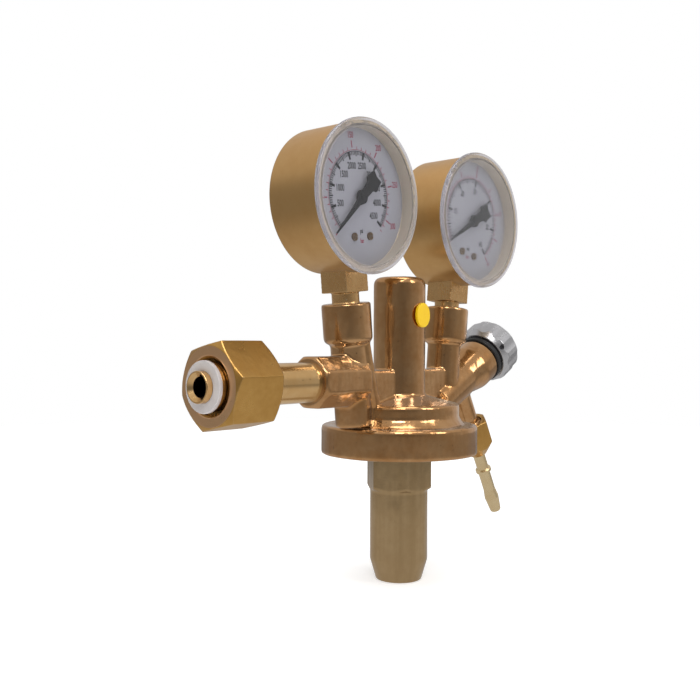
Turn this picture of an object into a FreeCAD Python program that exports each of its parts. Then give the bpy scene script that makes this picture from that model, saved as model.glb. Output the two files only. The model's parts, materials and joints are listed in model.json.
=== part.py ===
import FreeCAD, Part
import math
import os
from FreeCAD import Placement, Rotation, Vector

# Pressure regulator for a gas cylinder: forged body, union nut inlet, two gauges, side flow valve
# with a hose tail, and a spring housing below.
# Millimetres. The origin is on the inlet's axis at the spigot's inner end, just in front of the
# washer, +X runs into the body, the gauges face -Y, and +Z is up along the closed post.

# Inlet, measured along +X from the spigot's inner end
inlet_reach = 118.5
arm_face = 56.9
arm_end = 87.0
arm_diameter = 22.1
arm_chamfer = 1.2
arm_ring_length = 2.8
arm_flats = 8
arm_edge_radius = 1.5
washer_diameter = 20.2
washer_setback = 0.1
washer_thickness = 1.5
spigot_groove_depth = 0.2
spigot_diameter = 12.4
spigot_proud = 2.6
spigot_countersink = 11.2
inlet_bore = 8.0
inlet_bore_depth = 26.0
filter_length = 12.0
filter_wall = 1.2
collar_diameter = 19.6
collar_length = 4.6
stem_diameter = 17.0
stem_thread_diameter = 15.0
stem_thread_length = 17.0

# Inlet union nut and its slip ring
nut_across_flats = 32.0
nut_length = 24.0
nut_setback = 3.1
nut_corner_angle = -12.7
nut_thread_bore = 21.75
nut_mouth_diameter = 24.0
nut_thread_depth = 17.5
nut_stem_gap = 0.5
slip_ring_thickness = 1.6

# Forged body, measured from the post's axis and the inlet's axis
post_diameter = 24.4
post_top = 47.7
post_edge_radius = 3.4
post_foot = -7.6
flange_diameter = 73.4
flange_bottom = -34.9
flange_top = -21.2
flange_edge_radius = 1.7
step_diameter = 56.4
step_top = -11.6
step_edge_radius = 1.6
step_wall_foot = -17.5
step_blend_diameter = 61.0
column_spread = 34.3
column_lean = 6.0
column_diameter = 16.4
column_foot_diameter = 16.4
column_foot = -20.0
boss_diameter = 21.8
boss_bottom = 17.6
boss_top = 34.5
boss_shoulder_radius = 2.6
boss_chamfer = 0.6
web_top = 4.3
web_thickness = 12.0
web_edge_radius = 1.8
rib_top = 19.0
rib_top_offset = 3.2
rib_foot_offset = 11.2
rib_width = 4.2
rib_depth = 17.2
rib_edge_radius = 1.1

# Flow valve branch and outlet, measured from the valve chamber's centre
valve_offset = 46.7
valve_height = -2.6
valve_tilt = 27.9
branch_diameter = 19.0
branch_root = -22.0
branch_taper_start = 4.0
branch_blend_radius = 9.0
barrel_diameter = 23.8
barrel_start = 13.0
barrel_end = 22.2
barrel_edge_radius = 0.8
chamber_diameter = 11.0
chamber_bottom = -3.0
gland_thread_diameter = 16.0
gland_seat = 10.0
orifice_diameter = 3.0
outlet_thread_diameter = 13.157
outlet_port_end = 29.0
outlet_bore = 5.0
outlet_neck_diameter = 9.8
outlet_thread_start = 24.8

# Passages, diaphragm chamber and gauge ports in the body
housing_thread_diameter = 62.8
clamp_ledge = -26.0
clamp_ledge_width = 4.4
low_chamber_roof = -20.5
nozzle_thread_diameter = 16.0
nozzle_thread_length = 7.0
high_chamber_diameter = 11.2
high_chamber_top = 18.0
passage_diameter = 3.0
port_thread_diameter = 13.157
port_floor = 20.6
thread_gap = 0.05

# Colour disc on the post
disc_diameter = 11.4
disc_thickness = 1.2
disc_height = 29.8
disc_angle = -83.5
disc_stub_diameter = 5.0
disc_stub_length = 2.2

# Valve in the post
nozzle_hex = 12.0
nozzle_head = 2.0
nozzle_hole = 2.8
nozzle_lip_diameter = 6.4
nozzle_lip_height = 1.4
poppet_diameter = 9.2
poppet_height = 5.4
poppet_pin_diameter = 2.2
poppet_guide_diameter = 4.0
poppet_guide_length = 8.0
poppet_spring_wire = 1.4
poppet_spring_diameter = 7.4
poppet_spring_turns = 5

# Diaphragm, its plate and clamp ring
diaphragm_thickness = 1.6
clamp_ring_thickness = 1.5
plate_diameter = 40.0
plate_thickness = 2.2
plate_neck_diameter = 6.0
plate_head_diameter = 12.0
plate_head_thickness = 1.2
spring_boss_diameter = 12.4
spring_boss_height = 2.8

# Spring housing
housing_across_flats = 27.5
housing_corner_angle = 51.5
housing_hex_end = -52.0
housing_tube_diameter = 27.12
housing_taper_start = -84.5
housing_taper_radius = 3.0
housing_end = -94.1
housing_end_diameter = 21.4
housing_bore = 21.8
housing_end_wall = 10.0
housing_recess_diameter = 43.0
housing_recess_depth = 3.4
main_spring_wire = 3.2
main_spring_diameter = 16.8
main_spring_turns = 8
seat_thickness = 3.0
seat_rest_height = 7.1
seat_gap = 0.6
adjuster_diameter = 14.0
adjuster_length = 15.0
adjuster_tip_diameter = 9.0
adjuster_tip_length = 2.4
adjuster_socket = 6.0
adjuster_socket_depth = 7.0

# Gauges: heights along the stem from the inlet's axis, depths from the stem towards the front
gauge_height = 78.8
gauge_lifts = (0.76, -0.9)
gauge_turns = (0.4, -0.3)
dial_twists = (-0.7, 4.8)
case_diameter = 63.5
case_back = -11.55
case_front = 16.6
case_wall = 1.2
case_edge_radius = 1.6
case_slot_depth = 3.0
crystal_overhang = 1.4
crystal_rim_height = 1.95
crystal_thickness = 2.0
crystal_edge_radius = 1.5
crystal_skirt_depth = 2.0
crystal_skirt_wall = 1.0
dial_edge_gap = 0.55
dial_face = 10.6
dial_thickness = 0.6
dial_screw_spread = 5.1
dial_screw_drop = 16.7
dial_screw_head = 3.4
dial_screw_diameter = 1.9
dial_screw_boss = 3.6
block_size = 14.7
block_bottom = 38.5
neck_diameter = 12.2
stem_bottom = 22.0
block_rise = 6.8
tongue_top = -17.0

# Gauge movement, in the dial's plane from the dial's centre
plate_front = 6.2
plate_back = -4.4
plate_sheet = 1.0
plate_width = 16.0
plate_rise = 6.0
plate_foot_gap = 0.45
arbor_diameter = 1.6
arbor_gap = 0.05
pinion_teeth = 8
sector_teeth = 60
tooth_pitch_radius = 1.2
sector_trailing_teeth = 1
sector_leading_teeth = 7
sector_thickness = 2.0
sector_hub_diameter = 4.4
sector_tail = 5.0
link_width = 2.4
link_thickness = 0.6
link_pin_diameter = 1.2
link_lug_gap = 0.3
tube_radius = 20.0
tube_depth = 7.0
tube_thickness = 2.6
tube_start_angle = 252.0
tube_sweep = 250.0
pointer_rest_angle = 219.5
pointer_length = 23.5
pointer_tail_length = 14.0
pointer_tail_width = 8.6
pointer_tail_end_width = 6.4
pointer_hub_diameter = 6.0
pointer_sheet = 0.6
pointer_lift = 1.8

# Flow valve pieces along the knob's axis
knob_diameter = 31.0
knob_length = 12.7
knob_gap = 0.4
knob_flutes = 12
knob_flute_depth = 0.8
knob_edge_radius = 1.6
knob_taper_width = 2.1
knob_taper_length = 3.0
ring_diameter = 25.0
ring_thickness = 2.9
spindle_diameter = 6.0
spindle_collar_diameter = 8.8
spindle_collar_start = 1.5
spindle_collar_length = 3.9
spindle_end = 35.0
gland_stub_diameter = 13.0
gland_stub_end = 25.0
packing_thickness = 2.1
needle_head_diameter = 6.4
needle_head_thickness = 1.2
needle_shank_diameter = 3.0
needle_shank_length = 2.7
needle_hole_gap = 0.1
needle_hole_end_gap = 0.3
needle_taper = 15.0
needle_tip_reach = 3.5
grub_diameter = 2.6
grub_length = 8.0
grub_height = 1.9
grub_angle = -112.0

# Outlet pieces along the outlet's axis
outlet_nut_across_flats = 17.0
outlet_nut_start = 24.2
outlet_nut_hex_length = 12.3
outlet_nut_cone_length = 7.0
outlet_nut_end_diameter = 9.0
tail_head_diameter = 12.4
tail_head_thickness = 3.6
tail_nose_length = 2.0
tail_tube_diameter = 6.2
tail_bore = 3.4
tail_end = 79.6
tail_ridge = 53.8
tail_ridge_diameter = 8.2
tail_ridge_length = 2.6
tail_barb_diameter = 7.5
tail_barb_start = 66.0
tail_barb_peak = 71.0
tail_tip_diameter = 5.6
outlet_nut_gap = 0.1


# Helpers: outlines with rounded corners, turned solids and bars along the local Z axis
def outline(corners):
    count = len(corners)
    points = [Vector(c[0], 0, c[1]) for c in corners]
    radii = [c[2] if len(c) > 2 else 0.0 for c in corners]
    entries, exits, middles = [], [], []
    for i in range(count):
        here, radius = points[i], radii[i]
        back = (points[i - 1] - here).normalize()
        ahead = (points[(i + 1) % count] - here).normalize()
        if radius == 0.0:
            entries.append(here)
            exits.append(here)
            middles.append(None)
            continue
        half_turn = back.getAngle(ahead) / 2
        run = radius / math.tan(half_turn)
        centre_way = (back + ahead).normalize()
        entries.append(here + back * run)
        exits.append(here + ahead * run)
        middles.append(here + centre_way * (radius / math.sin(half_turn) - radius))
    edges = []
    for i in range(count):
        if middles[i] is not None:
            edges.append(Part.Arc(entries[i], middles[i], exits[i]).toShape())
        after = entries[(i + 1) % count]
        if exits[i].distanceToPoint(after) > 1e-6:
            edges.append(Part.LineSegment(exits[i], after).toShape())
    return Part.Wire(edges)


def turned(corners):
    face = Part.Face(outline(corners))
    return face.revolve(Vector(0, 0, 0), Vector(0, 0, 1), 360)


def bar(diameter, low, high, x=0.0, y=0.0):
    return Part.makeCylinder(diameter / 2, high - low, Vector(x, y, low))


def pipe(outer, inner, low, high):
    return bar(outer, low, high).cut(bar(inner, low, high))


def block(x_low, x_high, y_low, y_high, z_low, z_high):
    return Part.makeBox(x_high - x_low, y_high - y_low, z_high - z_low, Vector(x_low, y_low, z_low))


def extruded(points, low, high):
    corners = [Vector(x, y, low) for x, y in points]
    wire = Part.makePolygon(corners + corners[:1])
    return Part.Face(wire).extrude(Vector(0, 0, high - low))


def polar(radius, angle):
    turn = math.radians(angle)
    return radius * math.cos(turn), radius * math.sin(turn)


def hexagon(across_flats, low, high, corner_angle=0.0):
    corner = across_flats / 2 / math.cos(math.radians(30))
    return extruded([polar(corner, corner_angle + 60 * i) for i in range(6)], low, high)


def chamfered_hexagon(across_flats, low, high, corner_angle=0.0, top=True, bottom=True):
    flat = across_flats / 2 * 0.98
    corner = across_flats / 2 / math.cos(math.radians(30)) + 0.1
    fall = (corner - flat) * math.tan(math.radians(30))
    profile = [(0, low), (flat if bottom else corner, low)]
    if bottom:
        profile.append((corner, low + fall))
    if top:
        profile.append((corner, high - fall))
    profile += [(flat if top else corner, high), (0, high)]
    return hexagon(across_flats, low, high, corner_angle).common(turned(profile))


def coil(mean_diameter, wire, low, high, turns):
    height = high - low - wire
    path = Part.makeHelix(height / turns, height, mean_diameter / 2)
    start = Vector(mean_diameter / 2, 0, 0)
    section = Part.Wire(Part.Circle(start, Vector(0, 1, 0), wire / 2).toShape())
    spring = Part.Wire(path.Edges).makePipeShell([section], True, True)
    spring.translate(Vector(0, 0, low + wire / 2))
    return spring


def fused(first, *others):
    return first.multiFuse(list(others)).removeSplitter()


def placed(shape, frame):
    moved = shape.copy()
    moved.Placement = frame * moved.Placement
    return moved


def save(name, shape, frame):
    solid = placed(shape, frame)
    if not solid.isValid():
        print("not valid:", name)
    solid.exportStep(os.path.join("parts", name + ".step"))
    print(name, "solids", len(solid.Solids), "volume", round(solid.Volume, 1))


# Frames: where each group of pieces sits, and which way its local Z axis runs
def frame_of(origin, x_way, z_way):
    y_way = z_way.cross(x_way)
    return Placement(origin, Rotation(x_way, y_way, z_way, "ZXY"))


tilt = math.radians(valve_tilt)
knob_way = Vector(math.cos(tilt), 0, math.sin(tilt))
outlet_way = Vector(math.sin(tilt), 0, -math.cos(tilt))
valve_centre = Vector(inlet_reach + valve_offset, 0, valve_height)
inlet_frame = frame_of(Vector(0, 0, 0), Vector(0, -1, 0), Vector(1, 0, 0))
post_frame = frame_of(Vector(inlet_reach, 0, 0), Vector(1, 0, 0), Vector(0, 0, 1))
knob_frame = frame_of(valve_centre, outlet_way, knob_way)
outlet_frame = frame_of(valve_centre, knob_way, outlet_way)


def column_frame(side):
    lean = math.radians(column_lean) * side
    origin = Vector(inlet_reach + side * column_spread, 0, 0)
    return frame_of(origin, Vector(math.cos(lean), 0, -math.sin(lean)),
                    Vector(math.sin(lean), 0, math.cos(lean)))


def stem_frame(index):
    # a gauge screws in until it faces the right way, so each one stands at its own lift and turn
    turn = Rotation(Vector(0, 0, 1), gauge_turns[index])
    return column_frame((-1, 1)[index]) * Placement(Vector(0, 0, gauge_lifts[index]), turn)


# the dial's centre seen from the stem: local X to the right, local Y up, local Z out of the dial
stem_to_face = Placement(Vector(0, 0, gauge_height), Rotation(Vector(1, 0, 0), 90))


def face_frame(index):
    return stem_frame(index) * stem_to_face


def dial_frame(index):
    twist = Rotation(Vector(0, 0, 1), -dial_twists[index])
    return face_frame(index) * Placement(Vector(0, 0, 0), twist)


# Inlet pieces, local Z along +X from the sealing face
nut_front = nut_setback
nut_back = nut_setback + nut_length
nut_shoulder = nut_front + nut_thread_depth
collar_front = washer_setback + washer_thickness
collar_back = collar_front + collar_length


def inlet_stem():
    spigot = spigot_diameter / 2
    groove = spigot - spigot_groove_depth
    collar = collar_diameter / 2
    shank = stem_diameter / 2
    root = stem_thread_diameter / 2 - thread_gap
    end = arm_face + stem_thread_length
    outside = turned([
        (0, -spigot_proud), (spigot, -spigot_proud, 0.3), (spigot, 0), (groove, 0),
        (groove, collar_front), (collar, collar_front, 0.4), (collar, collar_back - 1.2),
        (shank, collar_back),
        (shank, arm_face), (root, arm_face), (root, end), (0, end)])
    bore = bar(inlet_bore, -spigot_proud, inlet_bore_depth)
    step = (spigot_countersink - inlet_bore) / 2
    mouth = Part.makeCone(spigot_countersink / 2, inlet_bore / 2, step, Vector(0, 0, -spigot_proud))
    passage = bar(passage_diameter, 0, end)
    return outside.cut(bore).cut(mouth).cut(passage)


def inlet_filter():
    low = inlet_bore_depth - filter_length
    outer = inlet_bore - 2 * thread_gap
    cup = bar(outer, low, inlet_bore_depth)
    hollow = bar(outer - 2 * filter_wall, low + filter_wall, inlet_bore_depth)
    return cup.cut(hollow)


def inlet_washer():
    # a loose ring on the spigot, against the collar
    outer = washer_diameter / 2
    inner = spigot_diameter / 2 + thread_gap
    return turned([
        (inner, washer_setback), (outer, washer_setback, 0.35), (outer, collar_front),
        (inner, collar_front)])


def inlet_nut():
    shell = chamfered_hexagon(nut_across_flats, nut_front, nut_back, nut_corner_angle)
    thread = nut_thread_bore / 2
    mouth_depth = (nut_mouth_diameter - nut_thread_bore) / 2
    mouth = Part.makeCone(nut_mouth_diameter / 2, thread, mouth_depth, Vector(0, 0, nut_front))
    stem_hole = bar(stem_diameter + 2 * nut_stem_gap, nut_front, nut_back)
    return shell.cut(mouth).cut(bar(nut_thread_bore, nut_front, nut_shoulder)).cut(stem_hole)


def inlet_slip_ring():
    outer = nut_thread_bore - 0.6
    inner = stem_diameter + 2 * nut_stem_gap
    return pipe(outer, inner, nut_shoulder - slip_ring_thickness, nut_shoulder)


# Forged body
def post_and_flange():
    post = post_diameter / 2
    step = step_diameter / 2
    blend = step_blend_diameter / 2
    flange = flange_diameter / 2
    return turned([
        (0, post_top), (post, post_top, post_edge_radius), (post, post_foot, 1.4),
        (step, step_top, step_edge_radius), (step, step_wall_foot, 1.8),
        (blend, flange_top, 1.8), (flange, flange_top, flange_edge_radius),
        (flange, flange_bottom, 0.7), (0, flange_bottom)])


def port_column():
    boss = boss_diameter / 2
    top = column_diameter / 2
    foot = column_foot_diameter / 2
    return turned([
        (0, boss_top), (boss, boss_top, boss_chamfer), (boss, boss_bottom, boss_shoulder_radius),
        (top, boss_bottom - 1.2, 0.8), (top, web_top), (foot, column_foot), (0, column_foot)])


def webs():
    reach = column_spread
    plate = block(-reach, reach, -web_thickness / 2, web_thickness / 2, step_top - 2, web_top)
    long_edges = [e for e in plate.Edges
                  if abs(e.CenterOfMass.z - web_top) < 0.01 and e.BoundBox.XLength > reach]
    return plate.makeFillet(web_edge_radius, long_edges)


def upright_plate(corners, thickness):
    face = Part.Face(outline(corners))
    face.translate(Vector(0, -thickness / 2, 0))
    return face.extrude(Vector(0, thickness, 0))


def gusset():
    # beside the inlet's gauge port the web runs up to the boss and ends in a thick rounded rib
    top_x = -column_spread + rib_top_offset
    foot_x = -column_spread + rib_foot_offset
    plate = upright_plate([
        (-column_spread, rib_top - 1), (top_x, rib_top), (foot_x, step_top),
        (-column_spread + 1, column_foot)], web_thickness)
    rib = upright_plate([
        (top_x - rib_width, rib_top), (top_x, rib_top), (foot_x, step_top),
        (foot_x - rib_width, step_top)], rib_depth)
    rims = [e for e in rib.Edges if e.BoundBox.YLength < 0.01 and e.BoundBox.ZLength > 1.0]
    return fused(plate, rib.makeFillet(rib_edge_radius, rims))


def branch():
    step = barrel_diameter / 2
    forged = branch_diameter / 2
    return turned([
        (0, branch_root), (forged, branch_root), (forged, branch_taper_start, branch_blend_radius),
        (step, barrel_start, branch_blend_radius), (step, barrel_end, barrel_edge_radius),
        (0, barrel_end)])


def outlet_port():
    neck = outlet_neck_diameter / 2
    thread = outlet_thread_diameter / 2
    return turned([
        (0, 0), (neck, 0), (neck, outlet_thread_start), (thread, outlet_thread_start, 0.5),
        (thread, outlet_port_end, 0.6), (0, outlet_port_end)])


def inlet_arm():
    # a bar with flats, forged, and a turned ring where the stem screws in
    radius = arm_diameter / 2
    ring_end = arm_face + arm_ring_length
    ring = turned([
        (0, arm_face), (radius, arm_face, arm_chamfer), (radius, ring_end, arm_edge_radius),
        (radius - arm_edge_radius, ring_end), (0, ring_end)])
    corner = radius / math.cos(math.pi / arm_flats)
    turn = 180 / arm_flats
    points = [polar(corner, turn + 360 / arm_flats * i) for i in range(arm_flats)]
    flats = extruded(points, arm_face + arm_chamfer, arm_end)
    rims = [e for e in flats.Edges if e.BoundBox.ZMax > arm_end - 0.01]
    return fused(ring, flats.makeFillet(arm_edge_radius, rims))


def body():
    to_post = post_frame.inverse()
    forging = fused(
        post_and_flange(), webs(), gusset(),
        placed(inlet_arm(), to_post * inlet_frame),
        placed(port_column(), to_post * column_frame(-1)),
        placed(port_column(), to_post * column_frame(1)),
        placed(branch(), to_post * knob_frame),
        placed(outlet_port(), to_post * outlet_frame))
    socket_end = arm_face + stem_thread_length + 1.0
    cuts = [
        bar(housing_thread_diameter, flange_bottom, clamp_ledge),
        bar(low_chamber_diameter, clamp_ledge, low_chamber_roof),
        bar(nozzle_thread_diameter, low_chamber_roof, low_chamber_roof + nozzle_thread_length),
        bar(high_chamber_diameter, low_chamber_roof, high_chamber_top),
        placed(bar(stem_thread_diameter, arm_face, socket_end), to_post * inlet_frame),
        placed(bar(passage_diameter, arm_face, inlet_reach), to_post * inlet_frame),
        placed(bar(chamber_diameter, chamber_bottom, barrel_end), to_post * knob_frame),
        placed(bar(gland_thread_diameter, gland_seat, barrel_end), to_post * knob_frame),
        placed(bar(orifice_diameter, -low_passage(), 0), to_post * knob_frame),
        placed(bar(outlet_bore, 0, outlet_port_end), to_post * outlet_frame),
        placed(outlet_seat(0.0), to_post * outlet_frame),
        placed(bar(disc_stub_diameter, 0, post_diameter / 2), to_post * disc_hole_frame())]
    for side, depth in ((-1, 0.0), (1, -11.0)):
        port = bar(port_thread_diameter + 2 * thread_gap, port_floor, boss_top)
        drill = bar(passage_diameter, depth, boss_top)
        cuts.append(placed(port, to_post * column_frame(side)))
        cuts.append(placed(drill, to_post * column_frame(side)))
    for cutter in cuts:
        forging = forging.cut(cutter)
    return forging


def low_passage():
    # how far the needle's bore runs from the chamber's centre until it breaks into the low chamber
    return (valve_height - low_chamber_roof) / math.sin(tilt) + 2.0


def outlet_seat(gap):
    wide = outlet_bore / 2 + tail_nose_length * 0.7
    return Part.makeCone(outlet_bore / 2 - gap, wide - gap, tail_nose_length,
                         Vector(0, 0, outlet_port_end - tail_nose_length))


def disc_frame():
    turn = math.radians(disc_angle)
    way = Vector(math.cos(turn), math.sin(turn), 0)
    origin = Vector(inlet_reach, 0, disc_height) + way * (post_diameter / 2)
    return frame_of(origin, Vector(0, 0, 1), way)


def disc_hole_frame():
    return disc_frame() * Placement(Vector(0, 0, -disc_stub_length), Rotation())


def colour_disc():
    disc = turned([(0, 0), (disc_diameter / 2, 0), (disc_diameter / 2, disc_thickness, 0.3),
                   (0, disc_thickness)])
    return fused(disc, bar(disc_stub_diameter - 2 * thread_gap, -disc_stub_length, 0))


# Valve in the post, local Z along the post
nozzle_top = low_chamber_roof + nozzle_thread_length
poppet_seat = nozzle_top + nozzle_lip_height
plate_head_top = clamp_ledge + plate_head_thickness
low_chamber_diameter = housing_thread_diameter - 2 * clamp_ledge_width
diaphragm_bottom = clamp_ledge - diaphragm_thickness
plate_bottom = diaphragm_bottom - plate_thickness


def valve_nozzle():
    head = hexagon(nozzle_hex, low_chamber_roof - nozzle_head, low_chamber_roof)
    thread = bar(nozzle_thread_diameter - 2 * thread_gap, low_chamber_roof, nozzle_top)
    lip = bar(nozzle_lip_diameter, nozzle_top, poppet_seat)
    hole = bar(nozzle_hole, low_chamber_roof - nozzle_head, poppet_seat)
    return fused(head, thread, lip).cut(hole)


def valve_poppet():
    holder = turned([
        (0, poppet_seat), (poppet_diameter / 2, poppet_seat, 0.4),
        (poppet_diameter / 2, poppet_seat + poppet_height, 0.6), (0, poppet_seat + poppet_height)])
    guide_low = poppet_seat + poppet_height
    guide = bar(poppet_guide_diameter, guide_low, guide_low + poppet_guide_length)
    pin = bar(poppet_pin_diameter, plate_head_top, poppet_seat)
    return fused(holder, guide, pin)


def valve_spring():
    low = poppet_seat + poppet_height
    return coil(poppet_spring_diameter, poppet_spring_wire, low, high_chamber_top, poppet_spring_turns)


def diaphragm():
    outer = housing_thread_diameter - 0.8
    return pipe(outer, plate_neck_diameter + 0.2, diaphragm_bottom, clamp_ledge)


def diaphragm_plate():
    plate = plate_diameter / 2
    neck = plate_neck_diameter / 2
    head = plate_head_diameter / 2
    boss = spring_boss_diameter / 2
    low = plate_bottom - spring_boss_height
    return turned([
        (0, low), (boss, low, 0.5), (boss, plate_bottom), (plate, plate_bottom, 0.6),
        (plate, diaphragm_bottom), (neck, diaphragm_bottom), (neck, clamp_ledge),
        (head, clamp_ledge), (head, plate_head_top, 0.4), (0, plate_head_top)])


def clamp_ring():
    outer = housing_thread_diameter - 0.8
    return pipe(outer, low_chamber_diameter, housing_rim, diaphragm_bottom)


# Spring housing and what it holds
housing_rim = diaphragm_bottom - clamp_ring_thickness
recess_floor = housing_rim - housing_recess_depth
housing_floor = housing_end + housing_end_wall
spring_seat_bottom = housing_floor + seat_rest_height
main_spring_bottom = spring_seat_bottom + seat_thickness


def spring_housing():
    disc = bar(housing_thread_diameter - 2 * thread_gap, flange_bottom, housing_rim)
    hex_part = chamfered_hexagon(housing_across_flats, housing_hex_end, flange_bottom,
                                 housing_corner_angle, top=False)
    tube = housing_tube_diameter / 2
    barrel = turned([
        (0, flange_bottom), (tube, flange_bottom), (tube, housing_taper_start, housing_taper_radius),
        (housing_end_diameter / 2, housing_end, 0.6), (0, housing_end)])
    shell = fused(disc, hex_part, barrel)
    shell = shell.cut(bar(housing_recess_diameter, recess_floor, housing_rim))
    shell = shell.cut(bar(housing_bore, housing_floor, recess_floor))
    return shell.cut(bar(adjuster_diameter, housing_end, housing_floor))


def main_spring():
    return coil(main_spring_diameter, main_spring_wire, main_spring_bottom, plate_bottom,
                main_spring_turns)


def spring_seat():
    disc = (housing_bore - 2 * seat_gap) / 2
    boss = spring_boss_diameter / 2
    high = main_spring_bottom + spring_boss_height
    return turned([
        (0, spring_seat_bottom), (disc, spring_seat_bottom), (disc, main_spring_bottom),
        (boss, main_spring_bottom), (boss, high, 0.5), (0, high)])


def adjusting_screw():
    thread = adjuster_diameter / 2 - thread_gap
    tip = adjuster_tip_diameter / 2
    shoulder = spring_seat_bottom - adjuster_tip_length
    low = spring_seat_bottom - adjuster_length
    screw = turned([
        (0, low), (thread, low, 0.6), (thread, shoulder), (tip, shoulder),
        (tip, spring_seat_bottom), (0, spring_seat_bottom)])
    return screw.cut(hexagon(adjuster_socket, low, low + adjuster_socket_depth))


# Gauges
plate_drop = case_diameter / 2 - block_rise - plate_foot_gap
plate_gap_front = plate_front - plate_sheet
plate_gap_back = plate_back + plate_sheet
sector_pitch_radius = tooth_pitch_radius * sector_teeth / pinion_teeth
sector_drop = tooth_pitch_radius + sector_pitch_radius
tail_drop = sector_drop + sector_tail
link_back = -sector_thickness / 2 - 1.8
link_front = link_back + link_thickness
tip_pin = (tube_radius + 0.2, -2.2)
crystal_diameter = case_diameter + 2 * crystal_overhang
crystal_front = case_front + crystal_rim_height
dial_diameter = case_diameter - 2 * case_wall - 2 * dial_edge_gap


def gauge_socket():
    half = block_size / 2
    root = gauge_height - case_diameter / 2 + block_rise
    top = gauge_height + tongue_top
    thread = port_thread_diameter / 2 - thread_gap
    neck = neck_diameter / 2
    stem = turned([
        (0, stem_bottom), (thread, stem_bottom, 0.5), (thread, boss_top - 1.0), (neck, boss_top - 0.4),
        (neck, block_bottom), (0, block_bottom)])
    square = block(-half, half, -half, half, block_bottom, root)
    tongue = block(-half, half, -plate_gap_front, -plate_gap_back, root, top)
    bore = bar(passage_diameter, stem_bottom, top - 2.0)
    return fused(stem, square, tongue).cut(bore).cut(placed(bourdon_tube(), stem_to_face))


def gauge_washer(index):
    low = port_floor - gauge_lifts[index]
    return pipe(port_thread_diameter - 0.6, passage_diameter + 1.0, low, stem_bottom)


def gauge_case():
    outer = case_diameter / 2
    inner = outer - case_wall
    shell = turned([
        (0, case_back), (outer, case_back, case_edge_radius), (outer, case_front),
        (inner, case_front), (inner, case_back + case_wall, case_edge_radius / 2),
        (0, case_back + case_wall)])
    half = block_size / 2 + thread_gap
    return shell.cut(block(-half, half, -outer, -inner + case_slot_depth, -half, half))


def gauge_crystal():
    outer = crystal_diameter / 2
    snap = case_diameter / 2 - case_wall - thread_gap
    inner = snap - crystal_skirt_wall
    under = crystal_front - crystal_thickness
    skirt = case_front - crystal_skirt_depth
    return turned([
        (0, under), (inner, under, 0.6), (inner, skirt), (snap, skirt), (snap, case_front),
        (outer, case_front), (outer, crystal_front, crystal_edge_radius), (0, crystal_front)])


def screw_spots(index):
    # in the face's own frame, so that the bosses under the dial follow its twist
    turn = math.radians(-dial_twists[index])
    spots = []
    for side in (-1, 1):
        x, y = side * dial_screw_spread, -dial_screw_drop
        spots.append((x * math.cos(turn) - y * math.sin(turn), x * math.sin(turn) + y * math.cos(turn)))
    return spots


def gauge_dial():
    back = dial_face - dial_thickness
    plate = bar(dial_diameter, back, dial_face).cut(bar(arbor_diameter + 1.6, back, dial_face))
    for side in (-1, 1):
        hole = bar(dial_screw_diameter + 0.1, back, dial_face, side * dial_screw_spread, -dial_screw_drop)
        plate = plate.cut(hole)
    return plate


def dial_screws():
    screws = []
    for side in (-1, 1):
        x, y = side * dial_screw_spread, -dial_screw_drop
        head = bar(dial_screw_head, dial_face, dial_face + 0.8, x, y)
        shank = bar(dial_screw_diameter, plate_front + 0.8, dial_face, x, y)
        slot = block(x - dial_screw_head, x + dial_screw_head, y - 0.25, y + 0.25,
                     dial_face + 0.45, dial_face + 1.0)
        screws.append(fused(head, shank).cut(slot))
    return Part.makeCompound(screws)


def gauge_movement(index):
    half = plate_width / 2
    front = block(-half, half, -plate_drop, plate_rise, plate_gap_front, plate_front)
    back = block(-half, half, -plate_drop, plate_rise, plate_back, plate_gap_back)
    pillars = [bar(2.4, plate_gap_back, plate_gap_front, side * (half - 1.4), plate_rise - 1.8)
               for side in (-1, 1)]
    spots = screw_spots(index)
    bosses = [bar(dial_screw_boss, plate_front, dial_face - dial_thickness, x, y) for x, y in spots]
    frame = fused(front, back, *(pillars + bosses))
    for drop in (0.0, sector_drop):
        hole = bar(arbor_diameter + 2 * arbor_gap, plate_back, plate_front, 0, -drop)
        frame = frame.cut(hole)
    for x, y in spots:
        hole = bar(dial_screw_diameter + 0.1, plate_front + 0.6, dial_face - dial_thickness, x, y)
        frame = frame.cut(hole)
    return frame


def tooth_points(count, pitch_radius, first, last, turn):
    # one tooth: foot, two corners of the tip and foot again, about the given turn in degrees
    step = 360 / count
    tip = pitch_radius + 0.24
    foot = pitch_radius - 0.42
    points = []
    for i in range(first, last + 1):
        middle = turn + i * step
        for radius, share in ((foot, -0.25), (tip, -0.09), (tip, 0.09), (foot, 0.25)):
            points.append(polar(radius, middle + share * step))
    return points


def gauge_sector():
    low, high = -sector_thickness / 2, sector_thickness / 2
    teeth = tooth_points(sector_teeth, sector_pitch_radius, -sector_leading_teeth,
                         sector_trailing_teeth, 90)
    fan = extruded([(-1.4, 0)] + [(1.4, 0)] + teeth, low, high)
    hub = bar(sector_hub_diameter, low, high)
    tail = block(-1.0, 1.0, -sector_tail, 0, low, high)
    eye = bar(2.0, low, high, 0, -sector_tail)
    arbor = bar(arbor_diameter, plate_back, plate_front)
    pin = bar(link_pin_diameter, link_back, low, 0, -sector_tail)
    sector = fused(fan, hub, tail, eye, arbor, pin)
    sector.translate(Vector(0, -sector_drop, 0))
    return sector


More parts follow.
